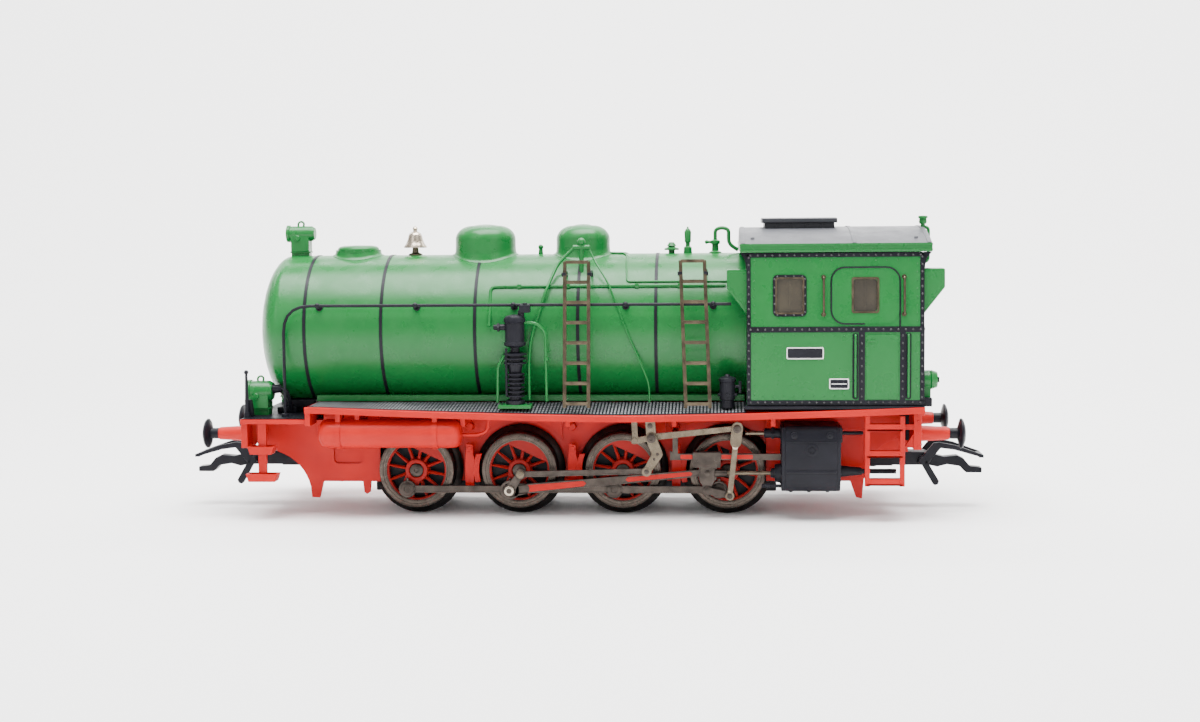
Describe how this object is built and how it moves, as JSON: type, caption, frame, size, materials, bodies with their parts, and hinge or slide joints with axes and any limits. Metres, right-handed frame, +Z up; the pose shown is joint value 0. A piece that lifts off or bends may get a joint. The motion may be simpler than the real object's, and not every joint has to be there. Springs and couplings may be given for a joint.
{
  "type": "model steam locomotive",
  "caption": "Electric 1:87 scale model of a fireless steam locomotive, green storage tank and cab on a red chassis, with working rods and hinged loop couplers.",
  "frame": {"origin": "on the plane the wheel flanges stand on, midway between the coupler tips and on the centre line", "axes": "+X along the track towards the cab, +Y to the right-hand side, +Z up"},
  "size_m": [0.125, 0.0325, 0.0457],
  "materials": {
    "green_paint": "satin green enamel",
    "red_paint": "satin vermilion",
    "roof_grey": "matt grey",
    "black_plastic": "satin black",
    "bell_metal": "polished turned metal",
    "glazing": "clear smoked insert",
    "motor_steel": "plated can",
    "gear_brass": "turned brass",
    "wheel_steel": "dark-nickelled steel tyres with red centres",
    "rod_steel": "dark-nickelled",
    "etched_nickel": "etched nickel silver"
  },
  "bodies": {
    "root": {"chassis_frame": "red_paint", "running_board": "red_paint", "front_beam": "red_paint", "rear_beam": "red_paint", "tank_shell": "green_paint", "front_dome": "green_paint", "rear_dome": "green_paint", "bell": "bell_metal", "top_lamp": "green_paint", "front_lamp_left": "green_paint", "front_lamp_right": "green_paint", "cab_body": "green_paint", "cab_roof": "roof_grey", "cab_glazing": "glazing", "air_pump": "black_plastic", "air_tank": "red_paint", "ladder_front": "etched_nickel", "ladder_rear": "etched_nickel", "handrail": "black_plastic", "cylinder_left": "black_plastic", "cylinder_right": "black_plastic", "motion_bracket_left": "etched_nickel", "motion_bracket_right": "etched_nickel", "motor": "motor_steel", "buffer_front_left": "black_plastic", "buffer_front_right": "black_plastic", "buffer_rear_left": "black_plastic", "buffer_rear_right": "black_plastic"},
    "wheelset_1": {"axle_1": "wheel_steel", "wheel_1_left": "wheel_steel", "wheel_1_right": "wheel_steel"},
    "wheelset_2": {"axle_2": "wheel_steel", "wheel_2_left": "wheel_steel", "wheel_2_right": "wheel_steel", "return_crank_left": "rod_steel", "return_crank_right": "rod_steel"},
    "wheelset_3": {"axle_3": "wheel_steel", "wheel_3_left": "wheel_steel", "wheel_3_right": "wheel_steel"},
    "wheelset_4": {"axle_4": "wheel_steel", "wheel_4_left": "wheel_steel", "wheel_4_right": "wheel_steel"},
    "idler_gear": {"idler_gear": "gear_brass"},
    "motor_shaft": {"motor_shaft": "gear_brass"},
    "coupling_rod_left": {"coupling_rod_left": "rod_steel"},
    "main_rod_left": {"main_rod_left": "rod_steel"},
    "eccentric_rod_left": {"eccentric_rod_left": "rod_steel"},
    "expansion_link_left": {"expansion_link_left": "etched_nickel"},
    "combination_lever_left": {"combination_lever_left": "etched_nickel"},
    "crosshead_left": {"crosshead_left": "rod_steel"},
    "coupling_rod_right": {"coupling_rod_right": "rod_steel"},
    "main_rod_right": {"main_rod_right": "rod_steel"},
    "eccentric_rod_right": {"eccentric_rod_right": "rod_steel"},
    "expansion_link_right": {"expansion_link_right": "etched_nickel"},
    "combination_lever_right": {"combination_lever_right": "etched_nickel"},
    "crosshead_right": {"crosshead_right": "rod_steel"},
    "coupler_head_front": {"coupler_head_front": "black_plastic"},
    "coupler_loop_front": {"coupler_loop_front": "black_plastic"},
    "coupler_head_rear": {"coupler_head_rear": "black_plastic"},
    "coupler_loop_rear": {"coupler_loop_rear": "black_plastic"}
  },
  "joints": [
    {"name": "drive_wheels_spin", "type": "hinge", "parent": "root", "child": "wheelset_2", "pos_m": [-0.0093, 0, 0.00695], "axis": [0, 1, 0], "continuous": true},
    {"name": "wheels_1_spin", "type": "hinge", "parent": "root", "child": "wheelset_1", "pos_m": [-0.0253, 0, 0.00695], "axis": [0, 1, 0], "continuous": true},
    {"name": "wheels_3_spin", "type": "hinge", "parent": "root", "child": "wheelset_3", "pos_m": [0.0067, 0, 0.00695], "axis": [0, 1, 0], "continuous": true},
    {"name": "wheels_4_spin", "type": "hinge", "parent": "root", "child": "wheelset_4", "pos_m": [0.0227, 0, 0.00695], "axis": [0, 1, 0], "continuous": true},
    {"name": "idler_spin", "type": "hinge", "parent": "root", "child": "idler_gear", "pos_m": [-0.0093, 0, 0.01503], "axis": [0, 1, 0], "continuous": true},
    {"name": "motor_spin", "type": "hinge", "parent": "root", "child": "motor_shaft", "pos_m": [0, 0, 0.02153], "axis": [1, 0, 0], "continuous": true},
    {"name": "coupling_rod_left_crank", "type": "hinge", "parent": "wheelset_2", "child": "coupling_rod_left", "pos_m": [-0.01061, -0.01055, 0.00414], "axis": [0, 1, 0], "continuous": true},
    {"name": "main_rod_left_swing", "type": "hinge", "parent": "coupling_rod_left", "child": "main_rod_left", "pos_m": [-0.01061, -0.0114, 0.00414], "axis": [0, 1, 0], "range_deg": [-0.6, 11.2]},
    {"name": "eccentric_rod_left_crank", "type": "hinge", "parent": "wheelset_2", "child": "eccentric_rod_left", "pos_m": [-0.00885, -0.0125, 0.00675], "axis": [0, 1, 0], "continuous": true},
    {"name": "expansion_link_left_swing", "type": "hinge", "parent": "root", "child": "expansion_link_left", "pos_m": [0.0112, -0.01305, 0.01235], "axis": [0, 1, 0], "range_deg": [-6, 6]},
    {"name": "crosshead_left_slide", "type": "slide", "parent": "root", "child": "crosshead_left", "axis": [1, 0, 0], "range_m": [-0.00166, 0.00454]},
    {"name": "combination_lever_left_swing", "type": "hinge", "parent": "root", "child": "combination_lever_left", "pos_m": [0.02416, -0.0133, 0.01382], "axis": [0, 1, 0], "range_deg": [-25.44, 9.36]},
    {"name": "coupling_rod_right_crank", "type": "hinge", "parent": "wheelset_2", "child": "coupling_rod_right", "pos_m": [-0.00649, 0.01055, 0.00564], "axis": [0, 1, 0], "continuous": true},
    {"name": "main_rod_right_swing", "type": "hinge", "parent": "coupling_rod_right", "child": "main_rod_right", "pos_m": [-0.00649, 0.0114, 0.00564], "axis": [0, 1, 0], "range_deg": [-3.43, 8.37]},
    {"name": "eccentric_rod_right_crank", "type": "hinge", "parent": "wheelset_2", "child": "eccentric_rod_right", "pos_m": [-0.0091, 0.0125, 0.0074], "axis": [0, 1, 0], "continuous": true},
    {"name": "expansion_link_right_swing", "type": "hinge", "parent": "root", "child": "expansion_link_right", "pos_m": [0.0112, 0.01305, 0.01235], "axis": [0, 1, 0], "range_deg": [-6, 6]},
    {"name": "crosshead_right_slide", "type": "slide", "parent": "root", "child": "crosshead_right", "axis": [1, 0, 0], "range_m": [-0.00588, 0.00032]},
    {"name": "combination_lever_right_swing", "type": "hinge", "parent": "root", "child": "combination_lever_right", "pos_m": [0.02416, 0.0133, 0.01382], "axis": [0, 1, 0], "range_deg": [-1.88, 32.92]},
    {"name": "coupler_front_swing", "type": "hinge", "parent": "root", "child": "coupler_head_front", "pos_m": [-0.0455, 0, 0.008], "axis": [0, 0, 1], "range_deg": [-12, 12]},
    {"name": "coupler_front_loop_lift", "type": "hinge", "parent": "coupler_head_front", "child": "coupler_loop_front", "pos_m": [-0.053, 0, 0.0075], "axis": [0, 1, 0], "range_deg": [0, 16]},
    {"name": "coupler_rear_swing", "type": "hinge", "parent": "root", "child": "coupler_head_rear", "pos_m": [0.0455, 0, 0.008], "axis": [0, 0, 1], "range_deg": [-12, 12]},
    {"name": "coupler_rear_loop_lift", "type": "hinge", "parent": "coupler_head_rear", "child": "coupler_loop_rear", "pos_m": [0.053, 0, 0.0075], "axis": [0, -1, 0], "range_deg": [0, 16]}
  ],
  "couplings": [
    {"joint": "wheels_1_spin", "follows": "drive_wheels_spin", "ratio": 1},
    {"joint": "wheels_3_spin", "follows": "drive_wheels_spin", "ratio": 1},
    {"joint": "wheels_4_spin", "follows": "drive_wheels_spin", "ratio": 1},
    {"joint": "idler_spin", "follows": "drive_wheels_spin", "ratio": -0.6},
    {"joint": "motor_spin", "follows": "drive_wheels_spin", "ratio": 12},
    {"joint": "coupling_rod_left_crank", "follows": "drive_wheels_spin", "ratio": -1},
    {"joint": "eccentric_rod_left_crank", "follows": "drive_wheels_spin", "ratio": -1},
    {"joint": "combination_lever_left_swing", "follows": "crosshead_left_slide", "rad_per_m": -97.409},
    {"joint": "coupling_rod_right_crank", "follows": "drive_wheels_spin", "ratio": -1},
    {"joint": "eccentric_rod_right_crank", "follows": "drive_wheels_spin", "ratio": -1},
    {"joint": "combination_lever_right_swing", "follows": "crosshead_right_slide", "rad_per_m": -97.409}
  ]
}
